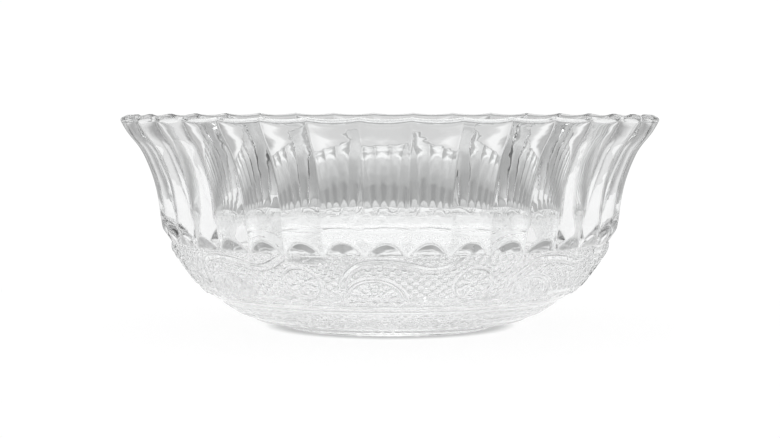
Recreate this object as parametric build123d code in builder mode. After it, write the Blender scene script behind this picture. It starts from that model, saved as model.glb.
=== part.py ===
"""Pressed-glass punch bowl, one moulding: lobed flaring wall, relief band, ribbed base and rest ring."""

import os
from math import atan2, cos, degrees, radians, sin

from build123d import *

os.makedirs("parts", exist_ok=True)

# ---- driving dimensions, in mm. The origin is the middle of the resting plane and +Z is up ----
LOBES = 36                 # upright convex lobes round the wall
LOBE_ANGLE = 360 / LOBES
REPEATS = 8                # repeats of the ornament round the band
RIM_RADIUS = 139.0         # outermost point of the lip, at the middle of a lobe
HEIGHT = 109.8             # top of the lip

# Lip: level on top, with both corners fire-polished round.
LIP_CORNER = 1.6           # radius of both corners
LIP_LEVEL = 3.75           # width of the level part between the corners
OUTSIDE_SLOPE = 60.0       # of the wall just below the lip, up from the level, in degrees
INSIDE_SLOPE = 65.0

# Stations of the lobed wall: height, radius at the middle of a lobe, depth of the crease between lobes.
WALL = [
    (39.0, 114.0, 2.4),
    (52.0, 118.0, 3.1),
    (64.0, 119.8, 3.0),
    (76.0, 122.2, 2.8),
    (86.0, 125.8, 2.6),
    (94.0, 129.9, 2.5),
    (101.0, 135.1, 2.4),
    (107.4, 138.65, 2.3),
    (113.0, 142.0, 2.3),
]

# The shoulder is a cone that cuts the lower ends of the lobes into arches.
SHOULDER_Z = 44.2          # the creases reach the band here
SHOULDER_R = 113.2
ARCH_Z = 51.6              # top of an arch
ARCH_R = 118.0
SHOULDER_RUN = (ARCH_R - SHOULDER_R) / (ARCH_Z - SHOULDER_Z)
CONE_BELOW = 2.0           # how far the trimming cone goes on below the creases and above the arches
CONE_ABOVE = 22.0
TRIM = 8.0                 # how far the other trimming shapes reach past the glass

# Ground of the ornamented band, from the shoulder down to the lower border. Each arc has a middle point.
BAND_ARC_TOP = (112.4, 41.4)
BAND_KNEE = (110.9, 38.6)  # the band leans back sharply above here
BAND_ARC_LOW = (103.9, 28.4)
BORDER_R = 95.4            # lower border, a small step out
BORDER_Z = 19.3
BORDER_STEP = 0.8
BORDER_FOOT = (BORDER_R - BORDER_STEP, BORDER_Z - 0.3)

# Underside: plain bowl below the border, then a shallow ribbed cone, then the rest ring.
TURN_ARC_TOP = (89.9, 15.8)
TURN_R = 84.6
TURN_Z = 12.6
TURN_ARC_LOW = (78.2, 8.5)
CONE_R = 71.0
CONE_Z = 5.3
REST_R = 53.6              # rest ring, the only part that touches the table
REST_DRAFT = 0.3           # its outer edge leans out this much
REST_HEIGHT = 1.1
REST_WIDTH = 4.0
RECESS = 1.6               # how far the middle of the base is lifted
RIBS = 72                  # radial flutes pressed in the cone
FLUTE_RADIUS = 1.2
FLUTE_DEPTH = 0.5
FLUTE_LENGTH = 14.0
STAR_POINTS = 24           # rays of the star under the base
RAY_START = 6.0
RAY_MIDDLE = 28.0
RAY_END = 46.0
RAY_WIDTH = 5.6
RAY_DEPTH = 1.2
RAY_TAPER = 55             # of the sides of a ray, in degrees

# Inside of the bowl, smooth: (radius, height) from the floor to the lip.
FLOOR_Z = 9.0
INSIDE = [
    (44.0, FLOOR_Z),
    (66.0, 11.6),
    (81.0, 19.0),
    (92.8, 29.0),
    (101.3, 38.5),
    (107.9, 49.0),
    (112.4, 59.5),
    (115.3, 70.0),
    (118.3, 80.0),
    (121.35, 88.0),
    (124.6, 95.0),
    (128.35, 101.0),
    (130.5, 105.0),
]

# One low round medallion to each repeat of the ornament.
MEDALLION_ANGLE = 22.8     # of the first one, from the middle of the front
MEDALLION_R = 105.6        # its middle, on the ground of the band
MEDALLION_Z = 31.0
MEDALLION_LEAN = 36.0      # how far its face looks down from the level
MEDALLION_RING = 11.4      # a raised ring round a swelling
MEDALLION_BEAD = 1.4
MEDALLION_BALL = 24.0
MEDALLION_RISE = 1.0


def lobe_points(radius, crease, n):
    """The crease before lobe n, its middle and the crease after it."""
    middle = radians(n * LOBE_ANGLE)
    half = radians(LOBE_ANGLE / 2)
    inner = radius - crease
    return (
        (inner * cos(middle - half), inner * sin(middle - half)),
        (radius * cos(middle), radius * sin(middle)),
        (inner * cos(middle + half), inner * sin(middle + half)),
    )


def on_corner(centre_r, turn):
    """The point of a lip corner at that angle up from the outward direction."""
    side = LIP_CORNER * cos(radians(turn))
    rise = LIP_CORNER * sin(radians(turn))
    return centre_r + side, HEIGHT - LIP_CORNER + rise


# The outer corner of the lip reaches RIM_RADIUS and both corners reach HEIGHT.
outer_corner_r = RIM_RADIUS - LIP_CORNER
inner_corner_r = outer_corner_r - LIP_LEVEL
outer_start = OUTSIDE_SLOPE - 90
inner_end = INSIDE_SLOPE + 90
lip_outer = on_corner(outer_corner_r, outer_start)
lip_outer_mid = on_corner(outer_corner_r, (outer_start + 90) / 2)
lip_top_outer = on_corner(outer_corner_r, 90)
lip_top_inner = on_corner(inner_corner_r, 90)
lip_inner_mid = on_corner(inner_corner_r, (inner_end + 90) / 2)
lip_inner = on_corner(inner_corner_r, inner_end)
inside_r = cos(radians(INSIDE_SLOPE))
inside_z = sin(radians(INSIDE_SLOPE))
lip_clear = (lip_outer[0] + TRIM * cos(radians(outer_start)), lip_outer[1] + TRIM * sin(radians(outer_start)))
lip_above = (lip_inner[0] + TRIM * inside_r, lip_inner[1] + TRIM * inside_z)

# Ends of the shoulder cone that trims the lobes.
cone_foot = (SHOULDER_R - CONE_BELOW * SHOULDER_RUN, SHOULDER_Z - CONE_BELOW)
cone_top = (ARCH_R + CONE_ABOVE * SHOULDER_RUN, ARCH_Z + CONE_ABOVE)


def under_medallion(depth):
    """The radius and height of a point that far below the ground, along a medallion's own axis."""
    lean = radians(MEDALLION_LEAN)
    return MEDALLION_R - depth * cos(lean), MEDALLION_Z + depth * sin(lean)


ring_r, ring_z = under_medallion(MEDALLION_BEAD)
ball_r, ball_z = under_medallion(MEDALLION_BALL - MEDALLION_RISE)

# Cutter of one flute: a round bar lying just under the ribbed cone, along the +X direction.
cone_lean = atan2(CONE_Z - REST_HEIGHT, CONE_R - REST_R)
flute_r = (CONE_R + REST_R) / 2 + (FLUTE_RADIUS - FLUTE_DEPTH) * sin(cone_lean)
flute_z = (CONE_Z + REST_HEIGHT) / 2 - (FLUTE_RADIUS - FLUTE_DEPTH) * cos(cone_lean)
with BuildPart() as flute:
    with Locations(Location((flute_r, 0, flute_z), (0, 90 - degrees(cone_lean), 0))):
        Cylinder(FLUTE_RADIUS, FLUTE_LENGTH)

# Cutter of one ray of the star: a long roof-shaped bar, deepest at its middle.
with BuildPart() as ray:
    with BuildSketch(Plane.XY.offset(RECESS)):
        with BuildLine():
            Polyline(
                (RAY_START, 0),
                (RAY_MIDDLE, -RAY_WIDTH / 2),
                (RAY_END, 0),
                (RAY_MIDDLE, RAY_WIDTH / 2),
                close=True,
            )
        make_face()
    extrude(amount=RAY_DEPTH, taper=RAY_TAPER)

with BuildPart() as bowl:
    # Lobed wall, as one solid block.
    for height, radius, crease in WALL:
        with BuildSketch(Plane.XY.offset(height)):
            with BuildLine():
                for n in range(LOBES):
                    before, middle, after = lobe_points(radius, crease, n)
                    ThreePointArc(before, middle, after)
            make_face()
    loft()

    # Kept inside the shoulder cone below and the rounded lip above.
    with BuildSketch(Plane.XZ):
        with BuildLine():
            Line((0, cone_foot[1]), cone_foot)
            Line(cone_foot, cone_top)
            Line(cone_top, lip_clear)
            Line(lip_clear, lip_outer)
            ThreePointArc(lip_outer, lip_outer_mid, lip_top_outer)
            Line(lip_top_outer, lip_top_inner)
            ThreePointArc(lip_top_inner, lip_inner_mid, lip_inner)
            Line(lip_inner, (0, lip_inner[1]))
            Line((0, lip_inner[1]), (0, cone_foot[1]))
        make_face()
    revolve(axis=Axis.Z, mode=Mode.INTERSECT)

    # Lower body: ground of the band, lower border, ribbed cone and rest ring.
    with BuildSketch(Plane.XZ):
        with BuildLine():
            Line((0, 0), (REST_R, 0))
            Line((REST_R, 0), (REST_R + REST_DRAFT, REST_HEIGHT))
            Line((REST_R + REST_DRAFT, REST_HEIGHT), (CONE_R, CONE_Z))
            ThreePointArc((CONE_R, CONE_Z), TURN_ARC_LOW, (TURN_R, TURN_Z))
            ThreePointArc((TURN_R, TURN_Z), TURN_ARC_TOP, BORDER_FOOT)
            Line(BORDER_FOOT, (BORDER_R, BORDER_Z + BORDER_STEP))
            ThreePointArc((BORDER_R, BORDER_Z + BORDER_STEP), BAND_ARC_LOW, BAND_KNEE)
            ThreePointArc(BAND_KNEE, BAND_ARC_TOP, (SHOULDER_R, SHOULDER_Z))
            Line((SHOULDER_R, SHOULDER_Z), (0, SHOULDER_Z))
            Line((0, SHOULDER_Z), (0, 0))
        make_face()
    revolve(axis=Axis.Z)

    # Medallions: a low swelling and the ring round it, square to the leaning ground.
    with PolarLocations(ball_r, REPEATS, -90 + MEDALLION_ANGLE):
        with Locations((0, 0, ball_z)):
            Sphere(MEDALLION_BALL)
    with PolarLocations(ring_r, REPEATS, -90 + MEDALLION_ANGLE):
        with Locations(Location((0, 0, ring_z), (0, 90 + MEDALLION_LEAN, 0))):
            Torus(MEDALLION_RING, MEDALLION_BEAD)

    # Smooth inside, open at the top.
    with BuildSketch(Plane.XZ):
        with BuildLine():
            Line((0, FLOOR_Z), INSIDE[0])
            Spline(*INSIDE, lip_inner, tangents=((1, 0), (inside_r, inside_z)))
            Line(lip_inner, lip_above)
            Line(lip_above, (0, lip_above[1]))
            Line((0, lip_above[1]), (0, FLOOR_Z))
        make_face()
    revolve(axis=Axis.Z, mode=Mode.SUBTRACT)

    # Recess inside the rest ring.
    with BuildSketch(Plane.XZ):
        with BuildLine():
            Line((0, -TRIM), (REST_R - REST_WIDTH, -TRIM))
            Line((REST_R - REST_WIDTH, -TRIM), (REST_R - REST_WIDTH, 0))
            Line((REST_R - REST_WIDTH, 0), (REST_R - REST_WIDTH - RECESS, RECESS))
            Line((REST_R - REST_WIDTH - RECESS, RECESS), (0, RECESS))
            Line((0, RECESS), (0, -TRIM))
        make_face()
    revolve(axis=Axis.Z, mode=Mode.SUBTRACT)

    # Flutes of the cone and rays of the star.
    with PolarLocations(0, RIBS):
        add(flute.part, mode=Mode.SUBTRACT)
    with PolarLocations(0, STAR_POINTS):
        add(ray.part, mode=Mode.SUBTRACT)

bowl.part.label = "bowl"
export_step(bowl.part, "parts/bowl.step")
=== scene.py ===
import math

import bpy
import numpy as np
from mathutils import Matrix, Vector


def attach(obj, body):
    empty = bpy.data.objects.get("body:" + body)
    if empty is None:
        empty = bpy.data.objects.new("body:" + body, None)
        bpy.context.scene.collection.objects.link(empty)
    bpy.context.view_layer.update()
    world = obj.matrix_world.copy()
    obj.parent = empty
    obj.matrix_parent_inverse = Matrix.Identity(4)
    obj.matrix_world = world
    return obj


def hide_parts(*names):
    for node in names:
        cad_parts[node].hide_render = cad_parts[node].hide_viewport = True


# Clear pressed-glass punch bowl. The CAD solid holds its sizes; this script presses the whole ornament
# into one closed mesh of the same outline, made as rings of points from the base, up the outside,
# over the lip and down the inside. Lengths are millimetres until the mesh is made, angles are degrees
# from the front of the bowl (-Y) towards +X.
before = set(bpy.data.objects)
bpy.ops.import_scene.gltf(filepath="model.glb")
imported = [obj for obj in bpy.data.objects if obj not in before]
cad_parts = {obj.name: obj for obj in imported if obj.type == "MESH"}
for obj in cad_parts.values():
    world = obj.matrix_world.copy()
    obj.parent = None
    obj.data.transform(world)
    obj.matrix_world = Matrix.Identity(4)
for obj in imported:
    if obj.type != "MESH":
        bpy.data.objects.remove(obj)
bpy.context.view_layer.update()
MM = 0.001

# ---- rings ----
LOBES = 36
REPEATS = 8
AROUND = LOBES * 56                     # points in a ring, a whole number for every repeat of the ornament
TURN = np.arange(AROUND) * 360.0 / AROUND
PATCHES = 4                             # the ornament is worked out for a quarter of the turn, then copied
PATCH = 360.0 / PATCHES

# ---- sizes of the wall, the lip and the inside, as in the CAD solid where nothing else is said ----
RIM_RADIUS = 139.0
HEIGHT = 109.8
LIP_CORNER = 1.6                        # radius of the lip's two corners
LIP_LEVEL = 3.75                        # width of the level part between them
LIP_TURNS = (-30.0, 155.0)              # where the corners meet the outside and the inside of the wall
LIP_DIP = 1.0                           # the lip is this much lower at a lobe's middle, level in the CAD
LIP_DIP_RISE = (88.0, 107.0)            # heights between which the dip grows to its full depth
# Height, radius at a lobe's middle and depth of the crease. At 107.4 the CAD's radius is 138.65.
WALL = [
    (39.0, 114.0, 2.4), (52.0, 118.0, 3.1), (64.0, 119.8, 3.0), (76.0, 122.2, 2.8), (86.0, 125.8, 2.6),
    (94.0, 129.9, 2.5), (101.0, 135.1, 2.4), (107.4, 138.8, 2.3), (113.0, 142.0, 2.3)]
CREASE_ROUND = (1.02, 0.10)             # rounds the bottom of a crease, in shares of half a lobe
INSIDE = [                              # radius and height, from the middle of the floor to the lip
    (0.0, 9.0), (22.0, 9.0), (44.0, 9.0), (66.0, 11.6), (81.0, 19.0), (92.8, 29.0), (101.3, 38.5),
    (107.9, 49.0), (112.4, 59.5), (115.3, 70.0), (118.3, 80.0), (121.35, 88.0), (124.6, 95.0),
    (128.35, 101.0), (130.5, 105.0)]

# ---- sizes of the shoulder, the band and the base ----
# The top of the band and the foot of the shoulder lean in up to 0.4 more than the CAD's.
SHOULDER = (112.8, 44.2)                # radius and height where the creases reach the band
ARCH = (118.0, 51.6)                    # the same at the top of an arch
SHOULDER_ROUND = 0.7
BORDER = (95.4, 19.3)
CONE_EDGE = (71.0, 5.3)                 # the upper edge of the fluted cone
OUTSIDE = [                             # radius and height, from the rest ring to the shoulder
    (53.9, 1.1), CONE_EDGE, (78.2, 8.5), (84.6, 12.6), (90.2, 16.1), BORDER, (103.9, 28.4),
    (110.4, 37.8), (112.35, 41.4), SHOULDER]
FLUTES = 72
FLUTE_DEPTH = 0.8                       # 0.5 in the CAD
FLUTE_ENDS = ((54.4, 55.6), (68.6, 69.8))   # radii over which a flute starts and ends
REST_RADIUS = 53.6
REST_WIDTH = 4.0
RECESS = 1.6
STAR_POINTS = 24

# ---- sizes of the ornament ----
MEDALLION = (22.8, 31.2)                # angle and height of the middles, in one repeat
MEDALLION_R = 10.6
PALMETTE = (-3.2, 27.0)
PALMETTE_FOOT = -5.2                    # below its middle
PALMETTE_SIZE = (16.4, 15.2)            # half its width, and its height above the foot
CUPS = (-11.0, -5.5, 0.0, 5.5, 11.0)    # across, along the palmette's foot
RIBBON = [
    (-11.5, 29.0), (-10.6, 33.5), (-9.0, 37.6), (-6.4, 40.6), (-2.5, 41.7), (2.5, 41.3), (7.0, 40.0),
    (11.3, 38.6), (14.6, 39.6), (17.2, 41.8), (19.0, 44.4)]
SCALLOPS = 7 * REPEATS                  # round the whole bowl, like the two counts below
PEARLS = 15 * REPEATS
EDGE_PEARLS = 20 * REPEATS              # in the row under the arches
EDGE_PEARL_Z = 43.2
PEARL_ROWS = (41.0, 39.0, 37.0, 35.0, 33.0, 31.0, 29.0, 27.0, 25.0)
GROUND_R = 107.0                        # middle radius of the ornamented ground
LEAF_GRAINS = (2.1, 1.15, 0.7)          # pitch, radius and height
STRIP_GRAINS = (2.4, 1.4, 0.8)
STRIP_EDGES = ((7.9, 8.7), (14.0, 14.8))    # heights over which the grained strip above the base fades
BORDER_LINE_Z = 16.9


def curve(points, step):
    """A smooth curve through the points, with even curvature, as points about step apart."""
    p = np.array(points, float)
    knots = np.concatenate([[0], np.cumsum(np.linalg.norm(np.diff(p, axis=0), axis=1))])
    gap = np.diff(knots)
    count = len(p)
    system = np.eye(count)
    bends = np.zeros_like(p)
    for i in range(1, count - 1):
        system[i, i - 1:i + 2] = gap[i - 1] / 6, (gap[i - 1] + gap[i]) / 3, gap[i] / 6
        bends[i] = (p[i + 1] - p[i]) / gap[i] - (p[i] - p[i - 1]) / gap[i - 1]
    bends = np.linalg.solve(system, bends)
    at = np.linspace(0, knots[-1], max(2, int(round(knots[-1] / step)) + 1))
    left = np.clip(np.searchsorted(knots, at, side="right") - 1, 0, count - 2)
    g = gap[left][:, None]
    a = (knots[left + 1] - at)[:, None] / g
    b = 1 - a
    bend = ((a ** 3 - a) * bends[left] + (b ** 3 - b) * bends[left + 1]) * g ** 2 / 6
    return a * p[left] + b * p[left + 1] + bend


def outward(line):
    """Unit normals of an (r, z) line, to its right when it runs up the outside."""
    d = np.gradient(line, axis=0)
    d /= np.linalg.norm(d, axis=1)[:, None]
    return np.stack([d[:, 1], -d[:, 0]], axis=1)


def rise(x, low, high):
    """0 below low, 1 above high, smooth between."""
    t = np.clip((x - low) / (high - low), 0, 1)
    return t * t * (3 - 2 * t)


def fall(x, low, high):
    """1 below low, 0 above high, smooth between."""
    return rise(-x, -high, -low)


def dome(d, half, height):
    """A round back where the distance d is less than half: a ridge along a line, or a bead on a point."""
    return height * np.sqrt(np.clip(1 - (d / half) ** 2, 0, 1))


def soft_min(a, b, k):
    """The smaller of two, with a round change-over where they are within k of each other."""
    h = np.clip(0.5 + 0.5 * (b - a) / k, 0, 1)
    return b + (a - b) * h - k * h * (1 - h)


def wrap(angle, period):
    """The angle brought to within half a period of 0."""
    return (angle + period / 2) % period - period / 2


def share_from_middle(count, shift=0.0):
    """For each point of a ring, 0 at the middle of one of count equal parts and 1 at its ends."""
    return np.abs(wrap(TURN + shift, 360.0 / count)) / (180.0 / count)


# ---- the band's ornament, as heights above its ground ----
class Band:
    """A patch of the band: angles across, rows up, and the distance up the band of each row."""

    def __init__(self, line, angles):
        along = np.concatenate([[0], np.cumsum(np.linalg.norm(np.diff(line, axis=0), axis=1))])
        self.z, self.r, self.s = line[:, 1], line[:, 0], along
        self.angles = angles
        self.height = np.zeros((len(line), len(angles)))

    def above(self, z):
        """Distance up the band from the height z to every place of the patch."""
        return (self.s - np.interp(z, self.z, self.s))[:, None] + 0 * self.height

    def to(self, angle, z, period=360.0 / REPEATS):
        """Millimetres across and up from a point to every place of the patch."""
        across = np.radians(wrap(self.angles[None, :] - angle, period)) * self.r[:, None]
        return across, self.above(z)

    def near(self, path):
        """Distance to a path of (angle, z) points, and how far along it the nearest point is, 0 to 1."""
        best = np.full(self.height.shape, np.inf)
        where = np.zeros(self.height.shape)
        for i, (angle, z) in enumerate(path):
            d = np.hypot(*self.to(angle, z))
            closer = d < best
            best[closer] = d[closer]
            where[closer] = i / (len(path) - 1)
        return best, where

    def raise_to(self, h):
        self.height = np.maximum(self.height, h)

    def flatten(self, mask):
        self.height = self.height * (1 - mask)


def pearl_row(band, z, count, height, shift=0.0):
    """Pearls at one height, as many as count round the bowl, moved on by an angle."""
    radius = 1.5
    return dome(np.hypot(*band.to(shift, z, 360.0 / count)), radius, height)


def stipple(band, pitch, radius, height, seed):
    """Small grains strewn evenly over the ground, each shifted a little from its place."""
    looseness = 0.32
    count = int(round(math.radians(PATCH) * GROUND_R / pitch))
    rows = int(band.s[-1] / pitch) + 2
    shift = np.random.default_rng(seed).uniform(-looseness, looseness, (rows, count, 2))
    across = band.angles[None, :] / PATCH * count + 0 * band.s[:, None]
    up = (band.s / pitch)[:, None] + 0 * across
    scale = (band.r / GROUND_R)[:, None]
    best = np.full(across.shape, np.inf)
    for i in (-1, 0, 1):
        for j in (-1, 0, 1):
            row = np.clip(np.floor(up).astype(int) + j, 0, rows - 1)
            column = np.floor(across).astype(int) + i
            place = shift[row, column % count]
            x = (across - column - 0.5 - place[..., 0]) * scale
            y = up - row - 0.5 - place[..., 1]
            best = np.minimum(best, np.hypot(x, y))
    return dome(best * pitch, radius, height)


def pearl_field(band):
    """Pearls under the arches, then staggered rows of them down to the border."""
    field = pearl_row(band, EDGE_PEARL_Z, EDGE_PEARLS, 0.9)
    for row, z in enumerate(PEARL_ROWS):
        field = np.maximum(field, pearl_row(band, z, PEARLS, 1.0, (row % 2) * 180.0 / PEARLS))
    return field


def grained_leaves(band, leaves, within, seed):
    """Raises the leaves, given as 0 to 1, with grains over them. Between them the grains are lower."""
    leaf_height, between = 0.45, 0.25
    grains = stipple(band, *LEAF_GRAINS, seed) * within
    band.raise_to(leaf_height * leaves + grains * (between + (1 - between) * leaves))


def medallion(band):
    """A rosette in a plain ring: petals of grains round a boss."""
    ring_half, ring_height = 1.1, 1.2
    boss_radius, boss_height = 2.1, 1.1
    petal_step = 45.0
    x, y = band.to(*MEDALLION)
    d = np.hypot(x, y)
    band.flatten(fall(d, MEDALLION_R, MEDALLION_R + 0.6))
    band.raise_to(dome(d - (MEDALLION_R - ring_half), ring_half, ring_height))
    petal = np.abs(wrap(np.degrees(np.arctan2(y, x)), petal_step)) / (petal_step / 2)
    petals = fall(petal, 0.35, 0.9) * rise(d, 1.8, 3.0) * fall(d, 6.6, 8.6)
    grained_leaves(band, petals, d < MEDALLION_R - 2 * ring_half, seed=3)
    band.raise_to(dome(d, boss_radius, boss_height))


def palmette(band):
    """Fanned leaves of grains under a double arch, with oval cups along the foot."""
    wide, tall = PALMETTE_SIZE
    outer_arch, inner_arch = (0.93, 0.9, 1.1), (0.80, 0.6, 0.6)     # share of its size, half width, height
    leaf_step = 30.0
    boss_radius, boss_height = 2.6, 1.1
    rim_half, rim_height = 0.6, 1.1
    x, y = band.to(*PALMETTE)
    y = y - PALMETTE_FOOT
    d = np.hypot(x / wide, y / tall)
    above = rise(y, -0.3, 0.3)
    band.flatten(fall(d, 0.98, 1.04) * above)
    for share, half, height in (outer_arch, inner_arch):
        band.raise_to(dome((d - share) * tall, half, height) * above)
    turn = np.degrees(np.arctan2(y / tall, x / wide))
    leaf = np.abs(wrap(turn - 90.0, leaf_step)) / (leaf_step / 2)
    leaves = fall(leaf, 0.35, 0.95) * rise(d, 0.2, 0.3) * fall(d, 0.62, 0.76) * above
    grained_leaves(band, leaves, above * (d < 0.74), seed=5)
    band.raise_to(dome(d * tall, boss_radius, boss_height) * above)
    cup_half, cup_lift, cup_mean = 2.0, 0.2, 1.2
    for cup in CUPS:
        oval = np.hypot((x - cup) / cup_half, y - cup_lift)
        band.raise_to(dome((oval - 1.0) * cup_mean, rim_half, rim_height))


def ribbon(band):
    """A plain strip with a raised edge on each side. It rolls over the palmette, dips and runs up to
    the arches."""
    half, edge_half, edge_height = 2.0, 0.75, 1.1
    d = band.near(curve(RIBBON, step=0.35))[0]
    band.flatten(fall(d, half + 0.3, half + 0.8))
    band.raise_to(dome(d - half, edge_half, edge_height))


def fan(band):
    """Curved ridges between the medallion and the rising end of the ribbon."""
    ridges, half, height = 4, 0.7, 1.0
    for n in range(ridges):
        foot, tip = -13.2 - 1.3 * n, -11.3 - 1.5 * n
        path = curve([(foot, 33.5 + 0.9 * n), (foot + 0.3, 37.0 + 0.6 * n), (tip, 41.2)], step=0.3)
        d, where = band.near(path)
        band.raise_to(dome(d, half, height) * rise(where, 0.0, 0.15) * fall(where, 0.85, 1.0))


def plain_shoulder(band):
    """Every other medallion has a plain strip over it, in place of the pearls, with a low ridge below."""
    x, y = band.to(MEDALLION[0] - 360.0 / REPEATS, 42.2, 2 * 360.0 / REPEATS)
    ends = fall(np.abs(x), 15.0, 16.5)
    band.flatten(ends * fall(np.abs(y), 2.4, 2.9))
    band.raise_to(dome(y + 2.5, 0.5, 0.5) * ends)


def scallop_border(band):
    """A row of low round scales with a thin rim each."""
    tall, scale_height, rim_half, rim_height = 3.4, 0.35, 0.5, 0.9
    x, y = band.to(0.0, 19.8, 360.0 / SCALLOPS)
    half = np.pi * BORDER[0] / SCALLOPS
    arch = np.hypot(x / half, y / tall)
    scale = fall(arch, 0.9, 1.0) * rise(y, -0.8, 0.2)
    band.flatten(np.maximum(fall(y, -0.6, 0.8), scale))
    band.raise_to(scale_height * scale)
    band.raise_to(dome((arch - 0.85) * tall, rim_half, rim_height) * rise(y, -0.8, 0.0))


def ornament(line):
    """Heights of the whole outside line, one row for each of its points."""
    band = Band(line, TURN[:AROUND // PATCHES])
    upper_end = fall(band.z, 44.0, 44.6)[:, None]
    lower_end = rise(band.z, 19.0, 20.0)[:, None]
    band.raise_to(pearl_field(band) * lower_end)
    medallion(band)
    palmette(band)
    plain_shoulder(band)
    ribbon(band)
    fan(band)
    scallop_border(band)
    band.height *= upper_end * lower_end
    strip = rise(band.z, *STRIP_EDGES[0]) * fall(band.z, *STRIP_EDGES[1])
    band.raise_to(stipple(band, *STRIP_GRAINS, seed=11) * strip[:, None])
    for z, half, height in ((CONE_EDGE[1], 0.9, 0.6), (BORDER_LINE_Z, 1.3, 0.4)):
        band.raise_to(dome(band.above(z), half, height))
    return np.tile(band.height, (1, PATCHES))


# ---- rings of the underside, the outside, the lip and the inside: arrays of r and z over TURN ----
# The share of a crease's depth at each point of a ring: 0 at a lobe's middle, 1 at a crease.
from_middle = share_from_middle(LOBES)
lobe = soft_min(from_middle, np.full_like(from_middle, CREASE_ROUND[0]), CREASE_ROUND[1]) ** 2
wall_curve = curve(WALL, step=0.4)
OUTER_CORNER = RIM_RADIUS - LIP_CORNER
INNER_CORNER = OUTER_CORNER - LIP_LEVEL


def level(r, z):
    """A plain round ring."""
    return np.full(AROUND, r), np.full(AROUND, z)


def wall_at(z):
    """Radius at a lobe's middle, and depth of the crease."""
    return np.interp(z, wall_curve[:, 0], wall_curve[:, 1]), np.interp(z, wall_curve[:, 0], wall_curve[:, 2])


def on_corner(centre, turn):
    """The point of a lip corner at that angle up from the outward direction."""
    angle = math.radians(turn)
    return centre + LIP_CORNER * math.cos(angle), HEIGHT - LIP_CORNER * (1 - math.sin(angle))


def dipped(z):
    """Heights of one ring: towards the lip they dip a little at the middle of each lobe."""
    return z - LIP_DIP * (1 - lobe) * rise(z, *LIP_DIP_RISE)


def star_cut(r):
    """Depth of the star at that radius: long rays from the middle, and short ones between their ends."""
    long_width, short_width = 0.96, 0.9     # shares of the room that a ray has
    long_depth, short_depth = 1.5, 1.3
    from_long = share_from_middle(STAR_POINTS)
    from_short = share_from_middle(STAR_POINTS, 180.0 / STAR_POINTS)
    long_half = long_width * rise(r, 1.0, 8.0) * fall(r, 26.0, 46.0)
    short_half = short_width * rise(r, 22.0, 40.0) * fall(r, 40.0, 47.5)
    long_cut = long_depth * np.clip(long_half - from_long, 0, 1) * rise(r, 2.0, 14.0)
    short_cut = short_depth * np.clip(short_half - from_short, 0, 1)
    return np.maximum(long_cut, short_cut)


def underside_rings():
    """The starred recess, then the rest ring with its small round edges."""
    rest_in = REST_RADIUS - REST_WIDTH
    recess = np.concatenate([[0.6], np.arange(2.0, rest_in - RECESS, 1.0)])
    rings = [(np.full(AROUND, r), RECESS + star_cut(r)) for r in recess]
    rest_ring = [
        (rest_in - RECESS, RECESS), (rest_in - 0.5, 0.45), (rest_in, 0.12), (rest_in + 0.4, 0.0),
        (rest_in + 2.0, 0.0), (REST_RADIUS - 0.4, 0.0), (REST_RADIUS, 0.12), (REST_RADIUS + 0.15, 0.6)]
    return rings + [level(r, z) for r, z in rest_ring]


def outside_rings():
    """From the foot of the fluted cone up to the shoulder, with the ornament."""
    line = curve(OUTSIDE, step=0.38)
    normal = outward(line)
    height = ornament(line)
    flute = dome(share_from_middle(FLUTES), 1.0, 1.0) - 1
    for row, r in enumerate(line[:, 0]):
        height[row] += rise(r, *FLUTE_ENDS[0]) * fall(r, *FLUTE_ENDS[1]) * FLUTE_DEPTH * flute
    return [(r + n[0] * h, z + n[1] * h) for (r, z), n, h in zip(line, normal, height)]


def wall_rings():
    """The lobed wall, cut to arches at its foot by the sloping shoulder. The rings are closer there."""
    fine, fine_top, coarse = 0.35, 54.0, 44
    wall_top = on_corner(OUTER_CORNER, LIP_TURNS[0])[1] - 0.4
    slope = (ARCH[0] - SHOULDER[0]) / (ARCH[1] - SHOULDER[1])
    rings = []
    for z in [*np.arange(SHOULDER[1] + fine, fine_top, fine), *np.linspace(fine_top, wall_top, coarse)]:
        radius, crease = wall_at(z)
        shoulder = np.full(AROUND, SHOULDER[0] + slope * (z - SHOULDER[1]))
        rings.append((soft_min(radius - crease * lobe, shoulder, SHOULDER_ROUND), dipped(z)))
    return rings


def lip_rings():
    """The level lip and its two round corners. At a crease the outer one steps in with the wall."""
    outer_rings, inner_rings = 12, 8
    step_in = wall_at(HEIGHT - LIP_CORNER)[1] * lobe
    rings = []
    for turn in np.linspace(LIP_TURNS[0], 90.0, outer_rings):
        r, z = on_corner(OUTER_CORNER, turn)
        rings.append((r - step_in, dipped(z)))
    for turn in np.linspace(90.0, LIP_TURNS[1], inner_rings):
        r, z = on_corner(INNER_CORNER, turn)
        rings.append((np.full(AROUND, r), dipped(z)))
    return rings


def inside_rings():
    """From below the lip down to the floor, without the lip's own last ring and the middle point."""
    line = curve(INSIDE + [on_corner(INNER_CORNER, LIP_TURNS[1])], step=2.0)[::-1]
    smallest = 0.5
    return [(np.full(AROUND, r), dipped(z)) for r, z in line[1:] if r > smallest]


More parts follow.
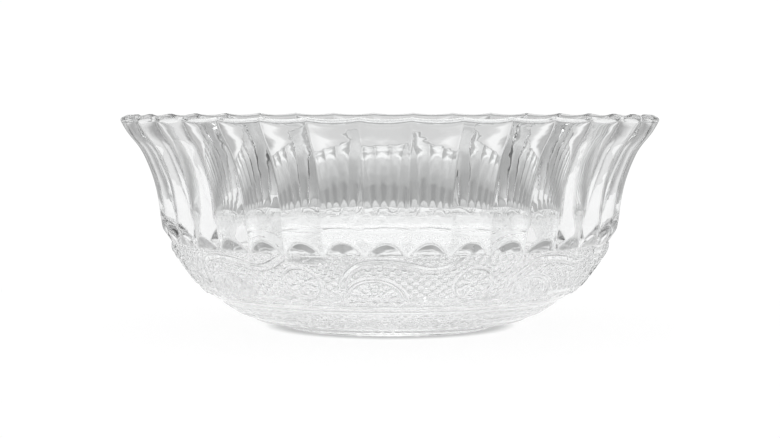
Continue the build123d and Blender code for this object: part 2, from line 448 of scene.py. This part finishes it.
def closed_mesh(name, rings, low_z, high_z):
    """One closed surface through the rings, with a point at the middle of the base and one at the floor."""
    turn = np.radians(TURN)
    r = np.array([ring[0] for ring in rings])
    z = np.array([ring[1] for ring in rings])
    points = np.stack([r * np.sin(turn), -r * np.cos(turn), z], axis=2).reshape(-1, 3)
    points = np.vstack([points, [[0, 0, low_z], [0, 0, high_z]]]) * MM
    rows = len(rings)
    ring = np.arange(AROUND)
    step = np.roll(ring, -1)
    base = (np.arange(rows - 1) * AROUND)[:, None]
    corners = [base + ring, base + step, base + AROUND + step, base + AROUND + ring]
    quads = np.stack(corners, axis=2).reshape(-1, 4)
    low, high = rows * AROUND, rows * AROUND + 1
    top = (rows - 1) * AROUND
    fans = np.concatenate([
        np.stack([np.full(AROUND, low), step, ring], axis=1),
        np.stack([np.full(AROUND, high), top + ring, top + step], axis=1)])
    loops = np.concatenate([quads.ravel(), fans.ravel()]).astype(np.int32)
    sizes = np.concatenate([np.full(len(quads), 4), np.full(len(fans), 3)])
    starts = np.concatenate([[0], np.cumsum(sizes)[:-1]]).astype(np.int32)
    mesh = bpy.data.meshes.new(name)
    mesh.vertices.add(len(points))
    mesh.vertices.foreach_set("co", points.astype(np.float32).ravel())
    mesh.loops.add(len(loops))
    mesh.loops.foreach_set("vertex_index", loops)
    mesh.polygons.add(len(sizes))
    mesh.polygons.foreach_set("loop_start", starts)
    mesh.update(calc_edges=True)
    mesh.polygons.foreach_set("use_smooth", np.ones(len(sizes), bool))
    mesh.validate()
    return mesh


def link(name, data):
    thing = bpy.data.objects.new(name, data)
    bpy.context.collection.objects.link(thing)
    return thing


def bowl():
    rings = underside_rings() + outside_rings() + wall_rings() + lip_rings() + inside_rings()
    return link("glass_bowl", closed_mesh("glass_bowl", rings, RECESS, INSIDE[0][1]))


# ---- materials ----
TABLE_RADIUS = 0.30                     # metres
TABLE_SIDES = 96
# The glow of the table by distance in millimetres from the middle, with a painted shade under the bowl:
# lower under the base, darkest in a ring under the foot.
TABLE_GLOW_AND_PAINTED_SHADE = [(0, 0.70), (36, 0.70), (46, 0.48), (57, 0.50), (66, 0.93), (300, 0.93)]


class Graph:
    """The nodes of a material or a world. An input is given as a value or as the socket that feeds it."""

    def __init__(self, owner):
        owner.use_nodes = True
        self.nodes, self.links = owner.node_tree.nodes, owner.node_tree.links

    def fill(self, node, inputs):
        for name, value in inputs.items():
            if isinstance(value, bpy.types.NodeSocket):
                self.links.new(value, node.inputs[name])
            else:
                node.inputs[name].default_value = value

    def add(self, kind, inputs=None, **settings):
        node = self.nodes.new("ShaderNode" + kind)
        for name, value in settings.items():
            setattr(node, name, value)
        self.fill(node, inputs or {})
        return node

    def greys(self, position, stops):
        """A grey for each position from 0 to 1, through the (position, grey) stops."""
        node = self.add("ValToRGB", {"Fac": position})
        elements = node.color_ramp.elements
        while len(elements) < len(stops):
            elements.new(0.5)
        for element, (place, grey) in zip(elements, stops):
            element.position = place
            element.color = (grey, grey, grey, 1)
        return node.outputs["Color"]

    def blend(self, share, a, b):
        first, second = 6, 7            # the mix node's two colour inputs
        return self.add("Mix", {"Factor": share, first: a, second: b}, data_type="RGBA").outputs[2]


def glass():
    """Clear glass with an uneven polish and a slight wave, as it comes from the mould."""
    material = bpy.data.materials.new("clear_pressed_glass")
    graph = Graph(material)
    place = graph.add("TexCoord").outputs["Object"]
    sheen = graph.add("TexNoise", {"Vector": place, "Scale": 60.0, "Detail": 3.0})
    polish = graph.add("MapRange", {"Value": sheen.outputs["Fac"], "To Min": 0.0, "To Max": 0.03})
    wave = graph.add("TexNoise", {"Vector": place, "Scale": 90.0, "Detail": 2.0})
    bump = graph.add("Bump", {"Height": wave.outputs["Fac"], "Strength": 0.25, "Distance": 0.0004})
    graph.fill(graph.nodes["Principled BSDF"], {
        "Base Color": (0.935, 0.94, 0.94, 1), "Transmission Weight": 1.0, "IOR": 1.5,
        "Roughness": polish.outputs["Result"], "Normal": bump.outputs["Normal"]})
    return material


def light_table():
    """A pale, faintly mottled table lit from below, with a painted soft shade in its glow under the bowl's
    foot.
    """
    material = bpy.data.materials.new("light_table")
    graph = Graph(material)
    place = graph.add("TexCoord").outputs["Object"]
    grain = graph.add("TexNoise", {"Vector": place, "Scale": 400.0, "Detail": 3.0})
    tone = graph.add("MapRange", {"Value": grain.outputs["Fac"], "To Min": 0.05, "To Max": 0.09})
    away = graph.add("VectorMath", {0: place}, operation="LENGTH")
    share = graph.add("Math", {0: away.outputs["Value"], 1: TABLE_RADIUS}, operation="DIVIDE")
    # painted shade: the table's glow is lowered under the bowl, most in a ring under its foot
    stops = [(radius * MM / TABLE_RADIUS, glow) for radius, glow in TABLE_GLOW_AND_PAINTED_SHADE]
    graph.fill(graph.nodes["Principled BSDF"], {
        "Base Color": tone.outputs["Result"], "Roughness": 0.8, "Specular IOR Level": 0.1,
        "Emission Color": (1, 1, 1, 1), "Emission Strength": graph.greys(share.outputs[0], stops)})
    return material


def table():
    turns = [2 * math.pi * k / TABLE_SIDES for k in range(TABLE_SIDES)]
    corners = [(TABLE_RADIUS * math.cos(t), TABLE_RADIUS * math.sin(t), 0) for t in turns]
    mesh = bpy.data.meshes.new("table_top")
    mesh.from_pydata(corners, [], [tuple(range(TABLE_SIDES))])
    mesh.materials.append(light_table())
    return link("table_top", mesh)


# ---- studio: what the glass sees round it, as (elevation in degrees, grey) ----
# MIDDLE lies straight behind the bowl, BACKDROP to either side of that, and ROOM is all the rest.
OVERHEAD = [(26, 0.08), (40, 0.05), (50, 1.9), (90, 2.0)]
MIDDLE = [
    (-90, 0.9), (-18, 0.8), (-14, 0.6), (-11.5, 0.33), (-5.5, 0.33), (-4.2, 0.48), (-2.2, 0.56),
    (-1.0, 0.66), (0.2, 0.74), (1.2, 0.67), (2.6, 0.67), (3.4, 0.98), (5.2, 0.98), (5.9, 0.46),
    (19, 0.38)] + OVERHEAD
BACKDROP = [
    (-90, 0.9), (-18, 0.75), (-14, 0.55), (-11.5, 0.42), (-5.5, 0.42), (-4.2, 0.50), (-2.2, 0.54),
    (-1.0, 0.60), (0.2, 0.66), (1.2, 0.63), (2.6, 0.63), (3.4, 0.70), (5.2, 0.70), (5.9, 0.42),
    (19, 0.34)] + OVERHEAD
ROOM = [
    (-90, 0.6), (-30, 0.75), (-15, 0.85), (-11, 0.66), (-8, 0.46), (-4, 0.38), (0, 0.33), (7, 0.26),
    (13, 0.12), (22, 0.03), (40, 0.05), (50, 1.9), (90, 2.0)]
MIDDLE_EDGE = (3.0, 15.0)               # degrees to either side where one gives way to the next
BACKDROP_EDGE = (18.0, 40.0)
SEEN_BY_CAMERA = (1.02, 1.02, 1.02, 1)
LIGHT_BOUNCES = 32


def studio():
    """A grey backdrop behind the bowl, a dark room to the sides and soft light overhead, as the glass
    sees them. The camera itself sees white all round, as on a cut-out picture."""
    world = bpy.data.worlds.new("studio")
    graph = Graph(world)
    place = graph.add("TexCoord").outputs["Generated"]
    towards = graph.add("SeparateXYZ", {"Vector": place}).outputs
    elevation = graph.add("Math", {0: towards["Z"]}, operation="ARCSINE").outputs[0]
    height = graph.add("MapRange", {"Value": elevation, "From Min": -math.pi / 2, "From Max": math.pi / 2})
    bearing = graph.add("Math", {0: towards["X"], 1: towards["Y"]}, operation="ARCTAN2").outputs[0]
    aside = graph.add("Math", {0: bearing}, operation="ABSOLUTE").outputs[0]
    tones = []
    for elevations in (MIDDLE, BACKDROP, ROOM):
        stops = [(0.5 + degrees / 180.0, grey) for degrees, grey in elevations]
        tones.append(graph.greys(height.outputs["Result"], stops))
    seen = tones[0]
    for tone, (start, end) in zip(tones[1:], (MIDDLE_EDGE, BACKDROP_EDGE)):
        edge = graph.add(
            "MapRange", {"Value": aside, "From Min": math.radians(start), "From Max": math.radians(end)},
            interpolation_type="SMOOTHSTEP")
        seen = graph.blend(edge.outputs["Result"], seen, tone)
    straight = graph.add("LightPath").outputs["Is Camera Ray"]
    graph.fill(graph.nodes["Background"], {"Color": graph.blend(straight, seen, SEEN_BY_CAMERA)})
    return world


def camera():
    """Just above the lip's height and looking slightly down, from about a metre. Lengths are metres."""
    distance, eye, aim = 1.013, 0.118, 0.0553
    turn = math.radians(0.9)
    data = bpy.data.cameras.new("camera")
    data.lens = 89.7
    data.sensor_width = 36.0
    thing = link("camera", data)
    thing.location = (distance * math.sin(turn), -distance * math.cos(turn), eye)
    look = Vector((0, 0, aim)) - thing.location
    thing.rotation_euler = look.to_track_quat("-Z", "Y").to_euler()
    return thing


piece = bowl()
piece.data.materials.append(glass())
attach(piece, "root")
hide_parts("bowl")
table()

scene = bpy.context.scene
scene.world = studio()
scene.view_settings.view_transform = "Standard"
scene.cycles.max_bounces = LIGHT_BOUNCES
scene.cycles.transmission_bounces = LIGHT_BOUNCES
scene.cycles.glossy_bounces = LIGHT_BOUNCES
bpy.context.scene.camera = camera()
